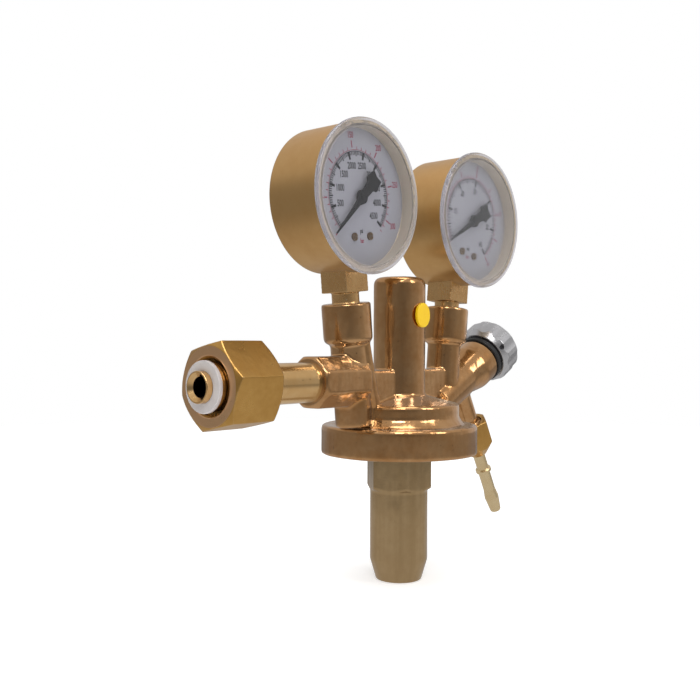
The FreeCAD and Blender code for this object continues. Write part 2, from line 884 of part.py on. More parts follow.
def gauge_link():
    start = Vector(0, -tail_drop, link_back)
    end = Vector(tip_pin[0], tip_pin[1], link_back)
    way = end - start
    strip = block(0, way.Length, -link_width / 2, link_width / 2, 0, link_thickness)
    ends = [bar(link_width, 0, link_thickness, x) for x in (0, way.Length)]
    link = fused(strip, *ends)
    for x in (0, way.Length):
        link = link.cut(bar(link_pin_diameter + 2 * arbor_gap, 0, link_thickness, x))
    turn = math.degrees(math.atan2(way.y, way.x))
    return placed(link, Placement(start, Rotation(Vector(0, 0, 1), turn)))


def bourdon_tube():
    middle = (plate_gap_front + plate_gap_back) / 2
    half_depth = tube_depth / 2
    half_wall = tube_thickness / 2
    edge_x = tube_radius + half_wall
    corners = [Vector(tube_radius - half_wall, 0, middle - half_depth),
               Vector(edge_x, 0, middle - half_depth), Vector(edge_x, 0, middle + half_depth),
               Vector(tube_radius - half_wall, 0, middle + half_depth)]
    section = Part.Face(Part.makePolygon(corners + corners[:1]))
    section.rotate(Vector(0, 0, 0), Vector(0, 0, 1), tube_start_angle)
    tube = section.revolve(Vector(0, 0, 0), Vector(0, 0, 1), -tube_sweep)
    lug_back = link_front + link_lug_gap
    lug = block(tip_pin[0] - 1.3, tip_pin[0] + 1.3, tip_pin[1] - 1.2, 1.2, lug_back, lug_back + 1.6)
    # the pin stops short of the link, which swings past it
    pin = bar(link_pin_diameter, link_front + link_lug_gap / 2, lug_back + 0.5, tip_pin[0], tip_pin[1])
    return fused(tube, lug, pin)


def pointer_blade():
    # slim blade towards the scale, broad spade tail behind the hub, drawn along +X
    half_tail = pointer_tail_width / 2
    half_end = pointer_tail_end_width / 2
    tail = pointer_tail_length
    hub = pointer_hub_diameter / 2
    upper = [
        (pointer_length, 0.25), (4.0, 1.3), (hub * 0.8, hub * 0.75), (-hub * 0.9, hub * 0.7),
        (-tail * 0.52, half_tail * 0.6), (-tail * 0.6, half_tail), (-tail, half_end)]
    return upper + [(-tail * 0.95, 0.0)] + [(x, -y) for x, y in reversed(upper)]


def gauge_pointer(index):
    low = dial_face + pointer_lift
    high = low + pointer_sheet
    blade = extruded(pointer_blade(), low, high)
    blade.rotate(Vector(0, 0, 0), Vector(0, 0, 1), pointer_rest_angle)
    hub = bar(pointer_hub_diameter, low - 0.6, high)
    cap = turned([(0, high), (1.5, high), (1.5, high + 0.5, 0.2), (0, high + 0.5)])
    arbor = bar(arbor_diameter, plate_back, high)
    gap_turn = -90 + 180 / pinion_teeth + dial_twists[index]
    pinion = extruded(tooth_points(pinion_teeth, tooth_pitch_radius, 0, pinion_teeth - 1, gap_turn),
                      -sector_thickness / 2 - 0.6, sector_thickness / 2 + 0.6)
    return fused(blade, hub, cap, arbor, pinion)


# Flow valve, local Z along the knob's axis
ring_top = barrel_end + ring_thickness
knob_low = ring_top + knob_gap
knob_high = knob_low + knob_length
packing_low = gland_seat - packing_thickness


def flow_gland():
    plug = bar(gland_thread_diameter - 2 * thread_gap, gland_seat, barrel_end)
    stub = bar(gland_stub_diameter, barrel_end, gland_stub_end)
    hole = bar(spindle_diameter + 2 * thread_gap, gland_seat, gland_stub_end)
    return fused(plug, stub).cut(hole)


def flow_packing():
    # a rubber ring under the gland, round the spindle
    radius = packing_thickness / 2
    ring = Part.makeTorus(spindle_diameter / 2 + thread_gap + radius, radius)
    ring.translate(Vector(0, 0, packing_low + radius))
    return ring


def flow_spindle():
    shaft = spindle_diameter / 2
    collar = spindle_collar_diameter / 2
    low = spindle_collar_start
    spindle = turned([
        (0, low), (collar, low, 0.3), (collar, low + spindle_collar_length, 0.3),
        (shaft, low + spindle_collar_length), (shaft, spindle_end, 0.4), (0, spindle_end)])
    hole_end = low + needle_shank_length + needle_hole_end_gap
    return spindle.cut(bar(needle_shank_diameter + 2 * needle_hole_gap, low, hole_end))


def flow_needle():
    head = needle_head_diameter / 2
    shank = needle_shank_diameter / 2
    high = spindle_collar_start
    low = high - needle_head_thickness
    grow = math.tan(math.radians(needle_taper))
    seal = orifice_diameter / 2 - thread_gap
    top = seal + (low - chamber_bottom) * grow
    tip = seal - needle_tip_reach * grow
    end = chamber_bottom - needle_tip_reach
    return turned([
        (0, end), (tip, end), (top, low), (head, low), (head, high), (shank, high),
        (shank, high + needle_shank_length), (0, high + needle_shank_length)])


def knob_ring():
    outer = ring_diameter / 2
    inner = gland_stub_diameter / 2 + thread_gap
    return turned([(inner, barrel_end), (outer, barrel_end, 0.6), (outer, ring_top, 0.6),
                   (inner, ring_top)])


def knob():
    outer = knob_diameter / 2
    grip = turned([
        (0, knob_low), (outer - knob_taper_width, knob_low, 0.4),
        (outer, knob_low + knob_taper_length, 1.0), (outer, knob_high, knob_edge_radius),
        (0, knob_high)])
    chord = math.pi * outer / knob_flutes
    flute_radius = (chord * chord * 0.72 + knob_flute_depth * knob_flute_depth) / (2 * knob_flute_depth)
    for i in range(knob_flutes):
        x, y = polar(outer + flute_radius - knob_flute_depth, 360 / knob_flutes * (i + 0.5))
        grip = grip.cut(bar(2 * flute_radius, knob_low, knob_high, x, y))
    grip = grip.cut(bar(spindle_diameter + 2 * thread_gap, knob_low, spindle_end))
    return grip.cut(placed(bar(grub_diameter, 0, knob_diameter), grub_frame()))


def grub_frame():
    x, y = polar(1.0, grub_angle)
    origin = Vector(0, 0, knob_low + grub_height)
    return frame_of(origin, Vector(0, 0, 1), Vector(x, y, 0))


def knob_grub_screw():
    low = spindle_diameter / 2 + 0.1
    screw = bar(grub_diameter - 2 * thread_gap, low, low + grub_length)
    screw = screw.cut(hexagon(1.5, low + grub_length - 2.0, low + grub_length))
    return placed(screw, grub_frame())


# Outlet, local Z along the outlet's axis
outlet_nut_hex_end = outlet_nut_start + outlet_nut_hex_length
outlet_nut_end = outlet_nut_hex_end + outlet_nut_cone_length
tail_head_end = outlet_port_end + tail_head_thickness


def outlet_nut():
    shell = chamfered_hexagon(outlet_nut_across_flats, outlet_nut_start, outlet_nut_hex_end, 18.0,
                              top=False)
    flat = outlet_nut_across_flats / 2
    corner = flat / math.cos(math.radians(30))
    cone = turned([
        (0, outlet_nut_start), (corner + 0.1, outlet_nut_start), (corner + 0.1, outlet_nut_hex_end),
        (outlet_nut_end_diameter / 2, outlet_nut_end, 0.6), (0, outlet_nut_end)])
    nose = hexagon(outlet_nut_across_flats, outlet_nut_hex_end, outlet_nut_end, 18.0)
    shell = fused(shell, nose).common(cone)
    thread = bar(outlet_thread_diameter + 2 * thread_gap, outlet_nut_start, tail_head_end)
    throat = bar(tail_tube_diameter + 2 * outlet_nut_gap, tail_head_end, outlet_nut_end)
    return shell.cut(thread).cut(throat)


def hose_tail():
    tube = tail_tube_diameter / 2
    head = tail_head_diameter / 2
    ridge = tail_ridge_diameter / 2
    barb = tail_barb_diameter / 2
    tail = turned([
        (0, outlet_port_end), (head, outlet_port_end), (head, tail_head_end), (tube, tail_head_end),
        (tube, tail_ridge - tail_ridge_length / 2), (ridge, tail_ridge - tail_ridge_length / 4),
        (ridge, tail_ridge + tail_ridge_length / 4), (tube, tail_ridge + tail_ridge_length / 2),
        (tube, tail_barb_start), (barb, tail_barb_peak, 0.8), (tail_tip_diameter / 2, tail_end, 0.4),
        (0, tail_end)])
    nose = outlet_seat(thread_gap)
    bore = bar(tail_bore, outlet_port_end - tail_nose_length, tail_end)
    return fused(tail, nose).cut(bore)


def main():
    os.makedirs("parts", exist_ok=True)
    pieces = [
        ("body", body(), post_frame),
        ("colour_disc", colour_disc(), disc_frame()),
        ("inlet_stem", inlet_stem(), inlet_frame),
        ("inlet_filter", inlet_filter(), inlet_frame),
        ("inlet_washer", inlet_washer(), inlet_frame),
        ("inlet_nut", inlet_nut(), inlet_frame),
        ("inlet_slip_ring", inlet_slip_ring(), inlet_frame),
        ("valve_nozzle", valve_nozzle(), post_frame),
        ("valve_poppet", valve_poppet(), post_frame),
        ("valve_spring", valve_spring(), post_frame),
        ("diaphragm", diaphragm(), post_frame),
        ("diaphragm_plate", diaphragm_plate(), post_frame),
        ("clamp_ring", clamp_ring(), post_frame),
        ("spring_housing", spring_housing(), post_frame),
        ("main_spring", main_spring(), post_frame),
        ("spring_seat", spring_seat(), post_frame),
        ("adjusting_screw", adjusting_screw(), post_frame),
        ("flow_gland", flow_gland(), knob_frame),
        ("flow_packing", flow_packing(), knob_frame),
        ("flow_spindle", flow_spindle(), knob_frame),
        ("flow_needle", flow_needle(), knob_frame),
        ("knob_ring", knob_ring(), knob_frame),
        ("knob", knob(), knob_frame),
        ("knob_grub_screw", knob_grub_screw(), knob_frame),
        ("outlet_nut", outlet_nut(), outlet_frame),
        ("hose_tail", hose_tail(), outlet_frame)]
    for index in (0, 1):
        gauge = "gauge_%d_" % (index + 1)
        pieces += [
            (gauge + "socket", gauge_socket(), stem_frame(index)),
            (gauge + "washer", gauge_washer(index), stem_frame(index)),
            (gauge + "case", gauge_case(), face_frame(index)),
            (gauge + "crystal", gauge_crystal(), face_frame(index)),
            (gauge + "movement", gauge_movement(index), face_frame(index)),
            (gauge + "sector", gauge_sector(), face_frame(index)),
            (gauge + "link", gauge_link(), face_frame(index)),
            (gauge + "bourdon_tube", bourdon_tube(), face_frame(index)),
            (gauge + "dial", gauge_dial(), dial_frame(index)),
            (gauge + "dial_screws", dial_screws(), dial_frame(index)),
            (gauge + "pointer", gauge_pointer(index), dial_frame(index))]
    for name, shape, frame in pieces:
        save(name, shape, frame)


main()
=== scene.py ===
import json
import math
import bpy
from mathutils import Matrix, Vector, noise


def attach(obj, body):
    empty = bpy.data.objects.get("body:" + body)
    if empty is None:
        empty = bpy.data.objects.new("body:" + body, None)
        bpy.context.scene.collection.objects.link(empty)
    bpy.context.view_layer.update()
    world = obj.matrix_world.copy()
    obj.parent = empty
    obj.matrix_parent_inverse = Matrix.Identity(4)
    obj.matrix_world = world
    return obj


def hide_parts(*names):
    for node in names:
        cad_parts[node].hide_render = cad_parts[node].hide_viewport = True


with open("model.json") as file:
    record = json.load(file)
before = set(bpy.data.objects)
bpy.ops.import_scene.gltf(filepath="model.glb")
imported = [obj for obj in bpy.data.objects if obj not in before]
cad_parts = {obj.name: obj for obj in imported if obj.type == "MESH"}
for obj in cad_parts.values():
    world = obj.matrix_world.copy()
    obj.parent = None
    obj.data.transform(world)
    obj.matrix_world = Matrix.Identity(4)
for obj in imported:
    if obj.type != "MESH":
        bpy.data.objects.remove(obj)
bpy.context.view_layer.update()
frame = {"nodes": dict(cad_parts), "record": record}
nodes = frame["nodes"]
mm = 0.001
fullTurn = 2 * math.pi
middle = 0.115


# Node helpers
def addNode(tree, kind, **values):
    made = tree.nodes.new(kind)
    for name, value in values.items():
        if hasattr(made, name):
            setattr(made, name, value)
        else:
            made.inputs[name.replace("_", " ")].default_value = value
    return made


def math2(tree, operation, *terms):
    made = addNode(tree, "ShaderNodeMath", operation=operation)
    for slot, value in enumerate(terms):
        if isinstance(value, (int, float)):
            made.inputs[slot].default_value = value
        else:
            tree.links.new(value, made.inputs[slot])
    return made.outputs[0]


def mixColour(tree, factor, first, second):
    made = addNode(tree, "ShaderNodeMix", data_type="RGBA")
    for slot, value in ((0, factor), (6, first), (7, second)):
        if isinstance(value, (int, float)):
            made.inputs[slot].default_value = value
        elif isinstance(value, tuple):
            made.inputs[slot].default_value = value + (1.0,)
        else:
            tree.links.new(value, made.inputs[slot])
    return made.outputs[2]


def newGroup(name, inputs, outputs):
    group = bpy.data.node_groups.new(name, "ShaderNodeTree")
    for label, kind, value in inputs:
        socket = group.interface.new_socket(label, in_out="INPUT", socket_type=kind)
        socket.default_value = value
    for label, kind in outputs:
        group.interface.new_socket(label, in_out="OUTPUT", socket_type=kind)
    return group, group.nodes.new("NodeGroupInput"), group.nodes.new("NodeGroupOutput")


def makeBlotches():
    # soft uneven tone: one broad noise and one finer one, as a mask from 0 to 1
    group, entry, leave = newGroup(
        "blotches", [("Scale", "NodeSocketFloat", 60.0)], [("Mask", "NodeSocketFloat")])
    place = addNode(group, "ShaderNodeTexCoord")
    broad = addNode(group, "ShaderNodeTexNoise", Detail=3.0, Roughness=0.55)
    fine = addNode(group, "ShaderNodeTexNoise", Detail=4.0, Roughness=0.6)
    group.links.new(place.outputs["Object"], broad.inputs["Vector"])
    group.links.new(place.outputs["Object"], fine.inputs["Vector"])
    group.links.new(entry.outputs["Scale"], broad.inputs["Scale"])
    group.links.new(math2(group, "MULTIPLY", entry.outputs["Scale"], 5.0), fine.inputs["Scale"])
    total = math2(group, "ADD", math2(group, "MULTIPLY", broad.outputs["Fac"], 0.65),
                  math2(group, "MULTIPLY", fine.outputs["Fac"], 0.35))
    spread = addNode(group, "ShaderNodeMapRange", From_Min=0.36, From_Max=0.64)
    group.links.new(total, spread.inputs["Value"])
    group.links.new(spread.outputs[0], leave.inputs["Mask"])
    return group


def makeLines():
    # fine tool marks: noise squeezed along the axis that Squeeze makes large
    group, entry, leave = newGroup(
        "tool_lines", [("Squeeze", "NodeSocketVector", (1.0, 1.0, 40.0)),
                       ("Scale", "NodeSocketFloat", 200.0)], [("Height", "NodeSocketFloat")])
    place = addNode(group, "ShaderNodeTexCoord")
    squeezed = addNode(group, "ShaderNodeVectorMath", operation="MULTIPLY")
    streaks = addNode(group, "ShaderNodeTexNoise", Detail=2.0, Roughness=0.5)
    group.links.new(place.outputs["Object"], squeezed.inputs[0])
    group.links.new(entry.outputs["Squeeze"], squeezed.inputs[1])
    group.links.new(squeezed.outputs[0], streaks.inputs["Vector"])
    group.links.new(entry.outputs["Scale"], streaks.inputs["Scale"])
    group.links.new(streaks.outputs["Fac"], leave.inputs["Height"])
    return group


def makeSpecks():
    # sparse small dark specks, as a mask
    group, entry, leave = newGroup(
        "specks", [("Scale", "NodeSocketFloat", 900.0), ("Share", "NodeSocketFloat", 0.2)],
        [("Mask", "NodeSocketFloat")])
    place = addNode(group, "ShaderNodeTexCoord")
    grains = addNode(group, "ShaderNodeTexNoise", Detail=1.0, Roughness=0.4)
    group.links.new(place.outputs["Object"], grains.inputs["Vector"])
    group.links.new(entry.outputs["Scale"], grains.inputs["Scale"])
    edge = math2(group, "SUBTRACT", 0.8, math2(group, "MULTIPLY", entry.outputs["Share"], 0.5))
    over = math2(group, "SUBTRACT", grains.outputs["Fac"], edge)
    sharp = addNode(group, "ShaderNodeMath", operation="MULTIPLY", use_clamp=True)
    sharp.inputs[1].default_value = 12.0
    group.links.new(over, sharp.inputs[0])
    group.links.new(sharp.outputs[0], leave.inputs["Mask"])
    return group


def makeWearAndSheen():
    # outer edges turned paler, as a mask: partly wear rubbed by handling, partly a painted highlight along
    # the edges
    group, entry, leave = newGroup(
        "edge_wear_and_sheen", [("Start", "NodeSocketFloat", 0.52), ("End", "NodeSocketFloat", 0.6)],
        [("Mask", "NodeSocketFloat")])
    shape = addNode(group, "ShaderNodeNewGeometry")
    rubbed = addNode(group, "ShaderNodeMapRange")
    group.links.new(shape.outputs["Pointiness"], rubbed.inputs["Value"])
    group.links.new(entry.outputs["Start"], rubbed.inputs["From Min"])
    group.links.new(entry.outputs["End"], rubbed.inputs["From Max"])
    group.links.new(rubbed.outputs[0], leave.inputs["Mask"])
    return group


blotches = makeBlotches()
toolLines = makeLines()
specks = makeSpecks()
edgeWearAndSheen = makeWearAndSheen()


def useGroup(tree, group, **values):
    made = addNode(tree, "ShaderNodeGroup", node_tree=group)
    for name, value in values.items():
        made.inputs[name].default_value = value
    return made.outputs[0]


drawnSqueeze = (1.0, 1.0, 0.03)
dentSqueeze = (1.0, 1.0, 0.3)
lineDepth = 0.0002
dentDepth = 0.001


def surface(name, look):
    # a principled surface whose colour, roughness and bump vary over it as look says
    material = bpy.data.materials.new(name)
    material.use_nodes = True
    tree = material.node_tree
    shader = tree.nodes["Principled BSDF"]
    shader.inputs["Metallic"].default_value = look.get("metallic", 0.0)
    shader.inputs["Coat Weight"].default_value = look.get("coat", 0.0)
    shader.inputs["Coat Roughness"].default_value = look.get("coatRoughness", 0.05)
    shader.inputs["Specular IOR Level"].default_value = look.get("specular", 0.5)
    mask = useGroup(tree, blotches, Scale=look.get("toneScale", 60.0))
    colour = mixColour(tree, mask, look["colour"], look["tone"])
    dots = useGroup(tree, specks, Scale=look.get("speckScale", 900.0), Share=look.get("specks", 0.1))
    colour = mixColour(tree, dots, colour, look.get("speckColour", (0.05, 0.03, 0.02)))
    if "streaks" in look:
        drawn = useGroup(tree, toolLines, Squeeze=drawnSqueeze, Scale=look["streakScale"])
        colour = mixColour(tree, drawn, colour, look["streaks"])
    # paler outer edges: rubbed wear together with a painted edge highlight
    if "wornAndSheen" in look:
        colour = mixColour(tree, useGroup(tree, edgeWearAndSheen), colour, look["wornAndSheen"])
    if "paintedPaleReflection" in look:
        # painted reflection: in glossy rays, as when seen in other brass, the brass takes a paler colour, a
        # painted highlight that keeps the corners from turning red
        path = addNode(tree, "ShaderNodeLightPath")
        colour = mixColour(tree, path.outputs["Is Glossy Ray"], colour, look["paintedPaleReflection"])
    tree.links.new(colour, shader.inputs["Base Color"])
    low, high = look["roughness"]
    rough = addNode(tree, "ShaderNodeMapRange", To_Min=low, To_Max=high)
    tree.links.new(mask, rough.inputs["Value"])
    tree.links.new(rough.outputs[0], shader.inputs["Roughness"])
    lines = useGroup(tree, toolLines, Squeeze=look.get("squeeze", (1.0, 1.0, 1.0)),
                     Scale=look.get("lineScale", 200.0))
    bump = addNode(tree, "ShaderNodeBump", Strength=look.get("bump", 0.1), Distance=lineDepth)
    tree.links.new(lines, bump.inputs["Height"])
    if "dents" in look:
        waves = useGroup(tree, toolLines, Squeeze=dentSqueeze, Scale=look["dentScale"])
        dents = addNode(tree, "ShaderNodeBump", Strength=look["dents"], Distance=dentDepth)
        tree.links.new(waves, dents.inputs["Height"])
        tree.links.new(dents.outputs[0], bump.inputs["Normal"])
    tree.links.new(bump.outputs[0], shader.inputs["Normal"])
    return material


# Surfaces, one dictionary of values each
forgedLook = {
    "colour": (0.73, 0.42, 0.195), "tone": (0.58, 0.29, 0.11), "metallic": 1.0, "toneScale": 70.0,
    "roughness": (0.13, 0.22), "coat": 0.15, "coatRoughness": 0.12, "bump": 0.14,
    "squeeze": (1.0, 1.0, 0.05), "lineScale": 620.0, "specks": 0.1, "paintedPaleReflection": (0.66, 0.55, 0.42),
    "dents": 0.7, "dentScale": 120.0}
polishedLook = {
    "colour": (0.92, 0.60, 0.28), "tone": (0.84, 0.51, 0.21), "metallic": 1.0, "toneScale": 70.0,
    "roughness": (0.12, 0.2), "bump": 0.05, "squeeze": (30.0, 1.0, 1.0), "specks": 0.05,
    "paintedPaleReflection": (0.72, 0.6, 0.45)}
nutLook = {
    "colour": (0.72, 0.41, 0.12), "tone": (0.62, 0.33, 0.085), "metallic": 1.0, "toneScale": 90.0,
    "roughness": (0.26, 0.38), "bump": 0.1, "squeeze": (1.0, 6.0, 6.0), "specks": 0.02,
    "paintedPaleReflection": (0.66, 0.52, 0.34), "wornAndSheen": (0.92, 0.68, 0.38), "dents": 0.25, "dentScale": 160.0}
caseLook = {
    "colour": (0.74, 0.45, 0.185), "tone": (0.68, 0.39, 0.15), "metallic": 1.0, "toneScale": 40.0,
    "roughness": (0.32, 0.4), "bump": 0.06, "squeeze": (1.0, 40.0, 1.0), "specks": 0.02,
    "paintedPaleReflection": (0.66, 0.55, 0.38)}
socketLook = {
    "colour": (0.84, 0.52, 0.23), "tone": (0.74, 0.42, 0.17), "metallic": 1.0, "toneScale": 160.0,
    "roughness": (0.2, 0.32), "bump": 0.07, "squeeze": (1.0, 1.0, 30.0), "specks": 0.03,
    "paintedPaleReflection": (0.7, 0.58, 0.42), "wornAndSheen": (0.95, 0.72, 0.42), "dents": 0.3, "dentScale": 200.0}
tubeLook = {
    "colour": (0.66, 0.47, 0.26), "tone": (0.56, 0.38, 0.20), "metallic": 1.0, "toneScale": 80.0,
    "roughness": (0.15, 0.22), "bump": 0.06, "squeeze": (1.0, 1.0, 25.0), "specks": 0.05,
    "paintedPaleReflection": (0.62, 0.52, 0.38), "streaks": (0.44, 0.29, 0.14), "streakScale": 260.0,
    "dents": 0.4, "dentScale": 150.0}
paleLook = {
    "colour": (0.96, 0.76, 0.46), "tone": (0.88, 0.66, 0.36), "metallic": 1.0, "toneScale": 150.0,
    "roughness": (0.2, 0.32), "bump": 0.08, "squeeze": (10.0, 1.0, 20.0), "specks": 0.04}
innerLook = {
    "colour": (0.74, 0.56, 0.28), "tone": (0.66, 0.47, 0.20), "metallic": 1.0, "toneScale": 200.0,
    "roughness": (0.2, 0.3), "bump": 0.08, "specks": 0.1}
bronzeLook = {
    "colour": (0.62, 0.40, 0.24), "tone": (0.54, 0.32, 0.17), "metallic": 1.0, "toneScale": 200.0,
    "roughness": (0.3, 0.45), "bump": 0.3, "lineScale": 3000.0, "specks": 0.3}
# near-black: sintered bronze is duller than plain bronze, and this colour also holds painted shade of the
# deep bore
filterShadeLook = {
    "colour": (0.10, 0.07, 0.05), "tone": (0.06, 0.04, 0.03), "metallic": 1.0, "toneScale": 200.0,
    "roughness": (0.5, 0.6), "bump": 0.3, "lineScale": 3000.0, "specks": 0.3}
chromeLook = {
    "colour": (0.70, 0.69, 0.70), "tone": (0.62, 0.61, 0.63), "metallic": 1.0, "toneScale": 120.0,
    "roughness": (0.24, 0.34), "bump": 0.05, "specks": 0.05}
steelLook = {
    "colour": (0.52, 0.52, 0.53), "tone": (0.42, 0.42, 0.43), "metallic": 1.0, "toneScale": 200.0,
    "roughness": (0.25, 0.4), "bump": 0.1, "specks": 0.1}
blackLook = {
    "colour": (0.012, 0.012, 0.013), "tone": (0.02, 0.02, 0.02), "toneScale": 200.0,
    "roughness": (0.35, 0.5), "bump": 0.08, "specks": 0.0}
pointerLook = {
    "colour": (0.004, 0.003, 0.006), "tone": (0.006, 0.005, 0.008), "toneScale": 200.0,
    "roughness": (0.5, 0.6), "specular": 0.12, "bump": 0.05, "specks": 0.0}
nylonLook = {
    "colour": (0.60, 0.57, 0.56), "tone": (0.54, 0.50, 0.49), "toneScale": 180.0,
    "roughness": (0.4, 0.5), "bump": 0.05, "specks": 0.03, "speckColour": (0.5, 0.45, 0.4)}
yellowLook = {
    "colour": (0.95, 0.62, 0.005), "tone": (0.93, 0.58, 0.004), "toneScale": 150.0,
    "roughness": (0.35, 0.45), "bump": 0.03, "specks": 0.02, "speckColour": (0.5, 0.35, 0.02)}
dialLook = {
    "colour": (0.375, 0.37, 0.41), "tone": (0.35, 0.345, 0.39), "toneScale": 50.0,
    "roughness": (0.5, 0.6), "bump": 0.02, "specks": 0.02, "speckColour": (0.4, 0.4, 0.42)}
blackInkLook = {
    "colour": (0.004, 0.004, 0.006), "tone": (0.006, 0.006, 0.008), "toneScale": 400.0,
    "roughness": (0.5, 0.6), "specular": 0.15, "bump": 0.02, "specks": 0.0}
redInkLook = {
    "colour": (0.30, 0.03, 0.07), "tone": (0.25, 0.025, 0.06), "toneScale": 400.0,
    "roughness": (0.5, 0.6), "specular": 0.25, "bump": 0.02, "specks": 0.0}
screwLook = {
    "colour": (0.30, 0.19, 0.09), "tone": (0.17, 0.10, 0.05), "metallic": 1.0, "toneScale": 500.0,
    "roughness": (0.3, 0.4), "bump": 0.1, "specks": 0.1}

finishes = {
    "forged_brass": surface("forged_brass", forgedLook),
    "polished_brass": surface("polished_brass", polishedLook),
    "nut_brass": surface("nut_brass", nutLook),
    "case_gold": surface("case_gold", caseLook),
    "socket_brass": surface("socket_brass", socketLook),
    "tube_brass": surface("tube_brass", tubeLook),
    "pale_brass": surface("pale_brass", paleLook),
    "machined_brass": surface("machined_brass", innerLook),
    "screw_brass": surface("screw_brass", screwLook),
    "tube_bronze": surface("tube_bronze", bronzeLook),
    "sintered_bronze": surface("sintered_bronze", filterShadeLook),
    "white_nylon": surface("white_nylon", nylonLook),
    "yellow_disc": surface("yellow_disc", yellowLook),
    "black_rubber": surface("black_rubber", blackLook),
    "black_ring": surface("black_ring", blackLook),
    "knob_chrome": surface("knob_chrome", chromeLook),
    "spring_steel": surface("spring_steel", steelLook),
    "steel_ring": surface("steel_ring", steelLook),
    "dial_white": surface("dial_white", dialLook),
    "pointer_black": surface("pointer_black", pointerLook)}
blackInk = surface("black_ink", blackInkLook)
redInk = surface("red_ink", redInkLook)


# The stem's bore, darkened with painted shade, and the nut's turned front, paled with a painted sheen, in
# millimetres
boreShadeTint = {"radius": 4.03, "end": 27.0, "colour": (0.24, 0.15, 0.14)}
nutFrontSheenTint = {"radius": 15.6, "end": 3.4, "colour": (0.88, 0.53, 0.28)}


def tintRound(material, tint):
    # another colour near the X axis, up to one place along it
    tree = material.node_tree
    shader = tree.nodes["Principled BSDF"]
    untinted = shader.inputs["Base Color"].links[0].from_socket
    place = addNode(tree, "ShaderNodeTexCoord")
    parts = addNode(tree, "ShaderNodeSeparateXYZ")
    tree.links.new(place.outputs["Object"], parts.inputs[0])
    across = math2(tree, "ADD", math2(tree, "POWER", parts.outputs["Y"], 2.0),
                   math2(tree, "POWER", parts.outputs["Z"], 2.0))
    inside = math2(tree, "MULTIPLY", math2(tree, "LESS_THAN", across, (tint["radius"] * mm) ** 2),
                   math2(tree, "LESS_THAN", parts.outputs["X"], tint["end"] * mm))
    tree.links.new(mixColour(tree, inside, untinted, tint["colour"]), shader.inputs["Base Color"])


# painted shade in the stem's bore, and a painted sheen on the nut's front face
tintRound(finishes["polished_brass"], boreShadeTint)
tintRound(finishes["nut_brass"], nutFrontSheenTint)


plasticIor = 1.49
plasticShade = (0.93, 0.93, 0.94, 1.0)


def clearPlastic(name, look):
    # clear to the light as well as to the eye, so the dial behind it isn't in the dark
    material = bpy.data.materials.new(name)
    material.use_nodes = True
    tree = material.node_tree
    shader = tree.nodes["Principled BSDF"]
    shader.inputs["Transmission Weight"].default_value = look["clear"]
    shader.inputs["IOR"].default_value = plasticIor
    shader.inputs["Base Color"].default_value = look["colour"] + (1.0,)
    mask = useGroup(tree, blotches, Scale=look["scale"])
    rough = addNode(tree, "ShaderNodeMapRange", To_Min=look["roughness"][0], To_Max=look["roughness"][1])
    tree.links.new(mask, rough.inputs["Value"])
    tree.links.new(rough.outputs[0], shader.inputs["Roughness"])
    path = addNode(tree, "ShaderNodeLightPath")
    through = addNode(tree, "ShaderNodeBsdfTransparent")
    through.inputs["Color"].default_value = plasticShade
    mix = addNode(tree, "ShaderNodeMixShader")
    # light that has turned inside the plastic a few times leaves it instead of dying in the rim
    spent = math2(tree, "GREATER_THAN", path.outputs["Ray Depth"], look["depth"])
    tree.links.new(math2(tree, "MAXIMUM", path.outputs["Is Shadow Ray"], spent), mix.inputs[0])
    tree.links.new(shader.outputs[0], mix.inputs[1])
    tree.links.new(through.outputs[0], mix.inputs[2])
    tree.links.new(mix.outputs[0], tree.nodes["Material Output"].inputs["Surface"])
    return material


windowLook = {
    "colour": (0.96, 0.965, 0.975), "clear": 1.0, "roughness": (0.02, 0.06), "scale": 90.0, "depth": 2.5}
hazyLook = {
    "colour": (0.96, 0.965, 0.975), "clear": 0.985, "roughness": (0.06, 0.2), "scale": 130.0, "depth": 2.5}
rimLook = {
    "colour": (0.82, 0.79, 0.81), "clear": 0.88, "roughness": (0.14, 0.26), "scale": 90.0, "depth": 3.5}
skirtLook = {
    "colour": (0.93, 0.84, 0.70), "clear": 0.8, "roughness": (0.3, 0.4), "scale": 60.0, "depth": 3.5}
finishes["clear_crystal"] = clearPlastic("clear_crystal", windowLook)
hazyCrystal = clearPlastic("hazy_crystal", hazyLook)
crystalRim = clearPlastic("crystal_rim", rimLook)
crystalSkirt = clearPlastic("crystal_skirt", skirtLook)


def dressNodes():
    for part in frame["record"]["subparts"]:
        shown = nodes[part["node"]]
        shown.data.materials.clear()
        shown.data.materials.append(finishes[part["material_slot"]])


dressNodes()


# Mesh helpers
def addMesh(name, points, faces, material, body, smooth=False):
    mesh = bpy.data.meshes.new(name)
    mesh.from_pydata([tuple(p) for p in points], [], faces)
    mesh.update()
    piece = bpy.data.objects.new(name, mesh)
    bpy.context.scene.collection.objects.link(piece)
    mesh.materials.append(material)
    for face in mesh.polygons:
        face.use_smooth = smooth
    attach(piece, body)
    return piece


# Gauge scales, printed on the dials: where each dial stands, in millimetres and degrees, and its print
gauges = {
    "gauge_1_": {
        "side": -1, "lift": 0.76, "turn": 0.4, "twist": -0.7, "face": 10.6, "up": 0.75, "arc": 19.0,
        "innerLabels": 13.2, "outerLabels": 25.6,
        "inner": {"steps": 9, "minor": 10, "labels": ["", "500", "1000", "1500", "2000", "2500", "3000",
                                                      "3500", "4000", "4500"]},
        "outer": {"top": 315, "minor": 10, "major": 50, "labels": 50}},
    "gauge_2_": {
        "side": 1, "lift": -0.9, "turn": -0.3, "twist": 4.8, "face": 10.6, "up": 1.0, "arc": 20.1,
        "innerLabels": 14.2, "outerLabels": 26.0,
        "inner": {"steps": 6, "minor": 10, "labels": ["", "10", "20", "30", "40", "50", "60"]},
        "outer": {"top": 4.0, "minor": 0.1, "major": 0.5, "labels": 1.0}}}
gaugeColumns = {"post": 118.5, "apart": 34.3, "lean": 6.0, "height": 78.8}
